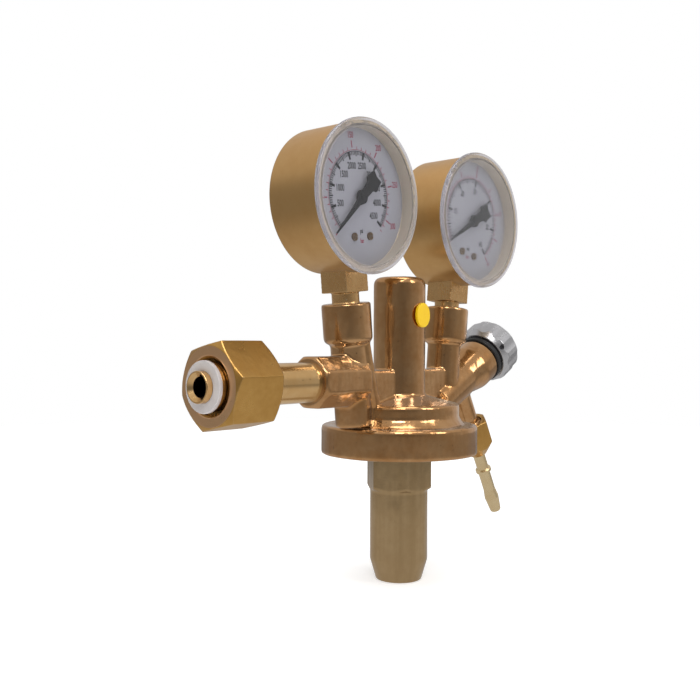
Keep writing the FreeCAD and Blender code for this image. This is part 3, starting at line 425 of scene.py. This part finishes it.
printLook = {
    "proud": 0.03, "ring": 0.3, "outerRing": 0.24, "ringGap": 0.3, "innerMajor": (3.4, 1.1),
    "innerHalf": (2.4, 0.6), "innerMinor": (1.8, 0.45), "outerStart": 1.0, "outerMajor": (3.0, 0.6),
    "outerMinor": (1.3, 0.36), "digits": 2.8, "outerDigits": 2.6, "unit": 1.9, "unitDrops": (15.1, 19.3),
    "squeeze": 0.67, "scaleStart": 225.0, "scaleSweep": 270.0, "ringPieces": 120, "capHeight": 0.7,
    "bold": 0.09, "labelShift": 0.5}


def faceFrame(name):
    # matrix from the gauge's face, x right and y up in millimetres, to the row frame in metres
    gauge = gauges[name]
    lean = math.radians(gaugeColumns["lean"]) * gauge["side"]
    foot = gaugeColumns["post"] + gaugeColumns["apart"] * gauge["side"]
    column = Matrix.Translation((foot, 0, 0)) @ Matrix.Rotation(lean, 4, "Y")
    turned = Matrix.Translation((0, 0, gauge["lift"])) @ Matrix.Rotation(math.radians(gauge["turn"]), 4, "Z")
    centre = Matrix.Translation((0, 0, gaugeColumns["height"])) @ Matrix.Rotation(math.pi / 2, 4, "X")
    return Matrix.Diagonal((mm, mm, mm, 1)) @ column @ turned @ centre


def dialFrame(name):
    gauge = gauges[name]
    twist = Matrix.Rotation(math.radians(-gauge["twist"]), 4, "Z")
    face = Matrix.Translation((0, gauge["up"], gauge["face"] + printLook["proud"]))
    return faceFrame(name) @ twist @ face


def ring(points, faces, near, far):
    # a thin flat line round the scale's whole sweep, between two radii
    pieces = printLook["ringPieces"]
    first = len(points)
    for i in range(pieces + 1):
        angle = scaleAngle(i / pieces)
        for radius in (near, far):
            points.append((radius * math.cos(angle), radius * math.sin(angle), 0.0))
    for i in range(pieces):
        at = first + 2 * i
        faces.append((at, at + 1, at + 3, at + 2))


def tick(points, faces, start, size, angle):
    length, width = size
    way = Vector((math.cos(angle), math.sin(angle), 0.0))
    side = Vector((-way.y, way.x, 0.0)) * width / 2
    first = len(points)
    for end in (way * start, way * (start + length)):
        points.append(tuple(end - side))
        points.append(tuple(end + side))
    faces.append((first, first + 2, first + 3, first + 1))


def addText(points, faces, words, x, y, height):
    curve = bpy.data.curves.new("digits", "FONT")
    curve.body = words
    curve.size = height / printLook["capHeight"]
    curve.align_x = "CENTER"
    curve.align_y = "CENTER"
    curve.offset = printLook["bold"]
    curve.resolution_u = 3
    holder = bpy.data.objects.new("digits", curve)
    bpy.context.scene.collection.objects.link(holder)
    bpy.context.view_layer.update()
    drawn = bpy.data.meshes.new_from_object(holder)
    first = len(points)
    for vertex in drawn.vertices:
        points.append((x + vertex.co.x * printLook["squeeze"], y + vertex.co.y, 0.0))
    for face in drawn.polygons:
        faces.append(tuple(first + i for i in face.vertices))
    bpy.data.objects.remove(holder)
    bpy.data.curves.remove(curve)
    bpy.data.meshes.remove(drawn)


def scaleAngle(share):
    return math.radians(printLook["scaleStart"] - printLook["scaleSweep"] * share)


def printInner(name):
    gauge = gauges[name]
    scale = gauge["inner"]
    arc = gauge["arc"]
    points, faces = [], []
    ring(points, faces, arc - printLook["ring"], arc)
    total = scale["steps"] * scale["minor"]
    for i in range(total + 1):
        size = printLook["innerMinor"]
        if i % scale["minor"] == 0:
            size = printLook["innerMajor"]
        elif i % (scale["minor"] // 2) == 0:
            size = printLook["innerHalf"]
        tick(points, faces, arc - size[0], size, scaleAngle(i / total))
    for i, words in enumerate(scale["labels"]):
        if words:
            angle = scaleAngle(i / scale["steps"])
            shift = printLook["labelShift"] * (len(words) - 2) * abs(math.cos(angle))
            radius = gauge["innerLabels"] - shift
            addText(points, faces, words, radius * math.cos(angle), radius * math.sin(angle),
                    printLook["digits"])
    addText(points, faces, "psi", 0.0, -printLook["unitDrops"][0], printLook["unit"])
    return points, faces


def printOuter(name):
    gauge = gauges[name]
    scale = gauge["outer"]
    inside = gauge["arc"] + printLook["ringGap"]
    points, faces = [], []
    ring(points, faces, inside, inside + printLook["outerRing"])
    count = round(scale["top"] / scale["minor"])
    every = round(scale["major"] / scale["minor"])
    labelled = round(scale["labels"] / scale["minor"])
    for i in range(count + 1):
        value = i * scale["minor"]
        angle = scaleAngle(value / scale["top"])
        if i % every == 0:
            tick(points, faces, inside + printLook["outerStart"], printLook["outerMajor"], angle)
        else:
            tick(points, faces, inside + printLook["outerRing"], printLook["outerMinor"], angle)
        if i % labelled == 0:
            radius = gauge["outerLabels"]
            addText(points, faces, "%g" % round(value, 1), radius * math.cos(angle),
                    radius * math.sin(angle), printLook["outerDigits"])
    addText(points, faces, "bar", 0.0, -printLook["unitDrops"][1], printLook["unit"])
    return points, faces


def addPrints(name):
    place = dialFrame(name)
    for words, maker, material, slot in (("black_scale", printInner, blackInk, "pointer_black"),
                                         ("red_scale", printOuter, redInk, "dial_white")):
        points, faces = maker(name)
        placed = [place @ Vector(p) for p in points]
        addMesh(name + words, placed, faces, material, "regulator")


for gaugeName in gauges:
    addPrints(gaugeName)
print("dials printed")


# Crystals: a flat window, a rounded rim over the case's edge and a skirt down to the dial
crystalValues = {
    "radius": 33.15, "front": 18.55, "corner": 1.5, "cornerSteps": 10, "caseFront": 16.6, "skirt": 30.5,
    "skirtInside": 29.5, "skirtEnd": 10.9, "under": 16.55, "sides": 160, "margin": 0.01, "sharp": 30.0}


def lathe(profile, sides):
    points, faces, rings = [], [], []
    for radius, height in profile:
        first = len(points)
        if radius == 0.0:
            points.append((0.0, 0.0, height))
            rings.append([first] * sides)
            continue
        for i in range(sides):
            angle = fullTurn * i / sides
            points.append((radius * math.cos(angle), radius * math.sin(angle), height))
        rings.append(list(range(first, first + sides)))
    for here, after in zip(rings, rings[1:]):
        for i in range(sides):
            j = (i + 1) % sides
            faces.append(tuple(dict.fromkeys((here[i], after[i], after[j], here[j]))))
    return points, faces


def addCrystal(name, window):
    v = crystalValues
    profile = [(0.0, v["front"]), (v["skirtInside"], v["front"])]
    for i in range(v["cornerSteps"] + 1):
        turn = math.pi / 2 * i / v["cornerSteps"]
        profile.append((v["radius"] - v["corner"] + v["corner"] * math.sin(turn),
                        v["front"] - v["corner"] + v["corner"] * math.cos(turn)))
    profile += [(v["radius"], v["caseFront"]), (v["skirt"], v["caseFront"]), (v["skirt"], v["skirtEnd"]),
                (v["skirtInside"], v["skirtEnd"]), (v["skirtInside"], v["under"]), (0.0, v["under"])]
    points, faces = lathe(profile, v["sides"])
    place = faceFrame(name)
    piece = addMesh(name + "clear_cover", [place @ Vector(p) for p in points], faces, window,
                    "regulator", smooth=True)
    piece.data.materials.append(crystalRim)
    piece.data.materials.append(crystalSkirt)
    for face in piece.data.polygons:
        spots = [points[i] for i in face.vertices]
        if min(height for x, y, height in spots) < v["under"] - v["margin"]:
            face.material_index = 2
        elif max(math.hypot(x, y) for x, y, height in spots) > v["skirtInside"] + v["margin"]:
            face.material_index = 1
    piece.data.set_sharp_from_angle(angle=math.radians(v["sharp"]))
    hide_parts(name + "crystal")


addCrystal("gauge_1_", finishes["clear_crystal"])
addCrystal("gauge_2_", hazyCrystal)
print("crystals fitted")


# Remeshed copies of solids, whose corners run together as on forged and handled pieces
softCopies = {
    "forged_body": {"node": "body", "body": "regulator", "slot": "forged_brass", "voxel": 0.45, "rounds": 14,
                    "waves": 0.1, "ripples": 0.04},
    "worn_inlet_nut": {"node": "inlet_nut", "body": "inlet_nut", "slot": "nut_brass", "voxel": 0.32,
                       "rounds": 5, "waves": 0.04, "ripples": 0.02},
    "worn_outlet_nut": {"node": "outlet_nut", "body": "outlet_nut", "slot": "nut_brass", "voxel": 0.22,
                        "rounds": 5, "waves": 0.02, "ripples": 0.01},
    "worn_spring_housing": {"node": "spring_housing", "body": "regulator", "slot": "tube_brass",
                            "voxel": 0.4, "rounds": 5, "waves": 0.03, "ripples": 0.02},
    "gauge_1_worn_socket": {"node": "gauge_1_socket", "body": "regulator", "slot": "socket_brass",
                            "voxel": 0.25, "rounds": 8, "waves": 0.03, "ripples": 0.02},
    "gauge_2_worn_socket": {"node": "gauge_2_socket", "body": "regulator", "slot": "socket_brass",
                            "voxel": 0.25, "rounds": 8, "waves": 0.03, "ripples": 0.02}}
waveScale = 60.0
rippleScale = 170.0
softFactor = 0.5


def softCopy(name):
    values = softCopies[name]
    mesh = nodes[values["node"]].data.copy()
    piece = bpy.data.objects.new(name, mesh)
    bpy.context.scene.collection.objects.link(piece)
    remesh = piece.modifiers.new("remesh", "REMESH")
    remesh.mode = "VOXEL"
    remesh.voxel_size = values["voxel"] * mm
    soft = piece.modifiers.new("soft", "SMOOTH")
    soft.factor = softFactor
    soft.iterations = values["rounds"]
    bpy.context.view_layer.update()
    done = bpy.data.meshes.new_from_object(piece.evaluated_get(bpy.context.evaluated_depsgraph_get()))
    piece.modifiers.clear()
    piece.data = done
    places = [vertex.co.copy() for vertex in done.vertices]
    ways = [vertex.normal.copy() for vertex in done.vertices]
    for i, place in enumerate(places):
        wave = noise.noise(place * waveScale) * values["waves"] * mm
        ripple = noise.noise(place * rippleScale) * values["ripples"] * mm
        places[i] = place + ways[i] * (wave + ripple)
    done.vertices.foreach_set("co", [value for place in places for value in place])
    done.polygons.foreach_set("use_smooth", [True] * len(done.polygons))
    done.materials.clear()
    done.materials.append(finishes[values["slot"]])
    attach(piece, values["body"])
    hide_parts(values["node"])


for copyName in softCopies:
    softCopy(copyName)
    print(copyName, "made")


# Thread inside the inlet nut, in the paler brass of the hose tail, so its crests are painted lighter: a
# painted highlight in the nut's shaded mouth
threadValues = {"pitch": 1.814, "start": 5.2, "end": 18.6, "radius": 10.86, "crest": 10.3, "across": 48,
                "halfWidth": 0.45}


def nutThread():
    points, faces = [], []
    turns = (threadValues["end"] - threadValues["start"]) / threadValues["pitch"]
    count = int(turns * threadValues["across"])
    half = threadValues["pitch"] * threadValues["halfWidth"]
    for i in range(count + 1):
        angle = fullTurn * i / threadValues["across"]
        x = threadValues["start"] + threadValues["pitch"] * i / threadValues["across"]
        for shift, radius in ((-half, threadValues["radius"]), (0.0, threadValues["crest"]),
                              (half, threadValues["radius"])):
            points.append(((x + shift) * mm, radius * math.cos(angle) * mm, radius * math.sin(angle) * mm))
        if i:
            at = 3 * i
            faces.append((at - 3, at, at + 1, at - 2))
            faces.append((at - 2, at + 1, at + 2, at - 1))
    return addMesh("inlet_nut_thread", points, faces, finishes["pale_brass"], "inlet_nut")


nutThread()


# Floor and backdrop
def levelsRound(tree, x, y, levels):
    # a grey that changes with the bearing of x and y, in degrees from +X
    bearing = math2(tree, "ARCTAN2", y, x)
    share = math2(tree, "FRACT", math2(tree, "ADD", math2(tree, "DIVIDE", bearing, fullTurn), 1.0))
    ramp = addNode(tree, "ShaderNodeValToRGB")
    tree.links.new(share, ramp.inputs[0])
    stops = ramp.color_ramp.elements
    for i, (angle, level) in enumerate(levels):
        stop = stops[i] if i < 2 else stops.new(angle / 360)
        if i < 2:
            stop.position = angle / 360
        stop.color = (level, level, level, 1.0)
    return ramp.outputs[0]


def makeFloor():
    # a round table top, so that level reflections pass over its edge to the room's walls
    values = {
        "height": -94.3 * mm, "radius": 0.9, "sides": 96, "colour": 0.86, "glow": 0.5, "near": 0.14,
        "far": 0.5, "nearPaintedReflection": 0.5, "farPaintedReflection": 0.25}
    mesh = bpy.data.meshes.new("floor")
    rim = []
    for i in range(values["sides"]):
        angle = fullTurn * i / values["sides"]
        rim.append((middle + values["radius"] * math.cos(angle), values["radius"] * math.sin(angle),
                    values["height"]))
    mesh.from_pydata(rim, [], [tuple(range(values["sides"]))])
    floor = bpy.data.objects.new("floor", mesh)
    bpy.context.scene.collection.objects.link(floor)
    material = bpy.data.materials.new("floor")
    material.use_nodes = True
    tree = material.node_tree
    shader = tree.nodes["Principled BSDF"]
    grey = values["colour"]
    shader.inputs["Base Color"].default_value = (grey, grey, grey, 1.0)
    shader.inputs["Roughness"].default_value = 0.9
    shader.inputs["Emission Color"].default_value = (1.0, 1.0, 1.0, 1.0)
    shader.inputs["Emission Strength"].default_value = values["glow"]
    path = addNode(tree, "ShaderNodeLightPath")
    place = addNode(tree, "ShaderNodeTexCoord")
    reach = addNode(tree, "ShaderNodeVectorMath", operation="DISTANCE")
    reach.inputs[1].default_value = (middle, 0.0, values["height"])
    tree.links.new(place.outputs["Object"], reach.inputs[0])
    fall = addNode(tree, "ShaderNodeMapRange", interpolation_type="SMOOTHSTEP", From_Min=values["near"],
                   From_Max=values["far"])
    tree.links.new(reach.outputs["Value"], fall.inputs["Value"])
    # painted reflection: to glossy rays the floor is a grey glow, brighter near the object and dimmer
    # further out, instead of its lit shading
    near = (values["nearPaintedReflection"],) * 3
    far = (values["farPaintedReflection"],) * 3
    glow = addNode(tree, "ShaderNodeEmission")
    tree.links.new(mixColour(tree, fall.outputs[0], near, far), glow.inputs["Color"])
    mix = addNode(tree, "ShaderNodeMixShader")
    tree.links.new(path.outputs["Is Glossy Ray"], mix.inputs[0])
    tree.links.new(shader.outputs[0], mix.inputs[1])
    tree.links.new(glow.outputs[0], mix.inputs[2])
    tree.links.new(mix.outputs[0], tree.nodes["Material Output"].inputs["Surface"])
    mesh.materials.append(material)


def makeWorld():
    # a room with soft walls round the object: brighter behind it, darker towards the camera's side
    values = {
        "walls": [(0, 0.6), (90, 0.3), (230, 0.15), (300, 0.3), (360, 0.6)],
        "ceiling": 0.54, "wallTop": 0.22, "ceilingStart": 0.5, "throughClear": 0.62}
    world = bpy.data.worlds.new("studio")
    bpy.context.scene.world = world
    world.use_nodes = True
    tree = world.node_tree
    tree.nodes.clear()
    place = addNode(tree, "ShaderNodeTexCoord")
    parts = addNode(tree, "ShaderNodeSeparateXYZ")
    tree.links.new(place.outputs["Generated"], parts.inputs[0])
    walls = levelsRound(tree, parts.outputs["X"], parts.outputs["Y"], values["walls"])
    rise = addNode(tree, "ShaderNodeMapRange", interpolation_type="SMOOTHSTEP",
                   From_Min=values["wallTop"], From_Max=values["ceilingStart"])
    tree.links.new(parts.outputs["Z"], rise.inputs["Value"])
    top = values["ceiling"]
    room = mixColour(tree, rise.outputs[0], walls, (top, top, top))
    path = addNode(tree, "ShaderNodeLightPath")
    clear = values["throughClear"]
    refracted = mixColour(tree, path.outputs["Is Transmission Ray"], room, (clear, clear, clear))
    seen = mixColour(tree, path.outputs["Is Camera Ray"], refracted, (1.0, 1.0, 1.0))
    background = addNode(tree, "ShaderNodeBackground")
    tree.links.new(seen, background.inputs["Color"])
    leave = addNode(tree, "ShaderNodeOutputWorld")
    tree.links.new(background.outputs[0], leave.inputs["Surface"])


def addLight(name, bearing, rise, distance, width, height, power):
    target = Vector((middle, 0.0, 0.01))
    way = Vector((math.cos(math.radians(bearing)) * math.cos(math.radians(rise)),
                  math.sin(math.radians(bearing)) * math.cos(math.radians(rise)),
                  math.sin(math.radians(rise))))
    lamp = bpy.data.lights.new(name, "AREA")
    lamp.shape = "RECTANGLE"
    lamp.size = width
    lamp.size_y = height
    lamp.energy = power
    holder = bpy.data.objects.new(name, lamp)
    bpy.context.scene.collection.objects.link(holder)
    holder.location = target + way * distance
    holder.rotation_euler = (-way).to_track_quat("-Z", "Y").to_euler()


def makeLights():
    addLight("overhead", 200.0, 82.0, 1.4, 1.0, 0.8, 8.0)
    addLight("upper_left", 222.0, 42.0, 1.5, 0.45, 0.45, 4.5)
    addLight("right_front", 285.0, 30.0, 1.8, 0.5, 0.8, 5.0)


def makeCamera():
    # the photograph's place, in millimetres, and its bearing from +X, tilt and roll in degrees
    values = {"place": (-218.68, -268.83, 16.77), "bearing": 41.66, "tilt": -0.44, "roll": 0.2,
              "lens": 46.917}
    camera = bpy.data.cameras.new("camera")
    camera.lens = values["lens"]
    camera.sensor_width = 36.0
    camera.clip_start = 0.01
    holder = bpy.data.objects.new("camera", camera)
    bpy.context.scene.collection.objects.link(holder)
    bearing = Matrix.Rotation(math.radians(values["bearing"] - 90), 4, "Z")
    tilt = Matrix.Rotation(math.radians(90 + values["tilt"]), 4, "X")
    roll = Matrix.Rotation(math.radians(values["roll"]), 4, "Z")
    place = Matrix.Translation(Vector(values["place"]) * mm)
    holder.matrix_world = place @ bearing @ tilt @ roll
    bpy.context.scene.camera = holder


makeFloor()
makeWorld()
makeLights()
makeCamera()
bpy.context.scene.view_settings.view_transform = "Standard"
print("studio set")
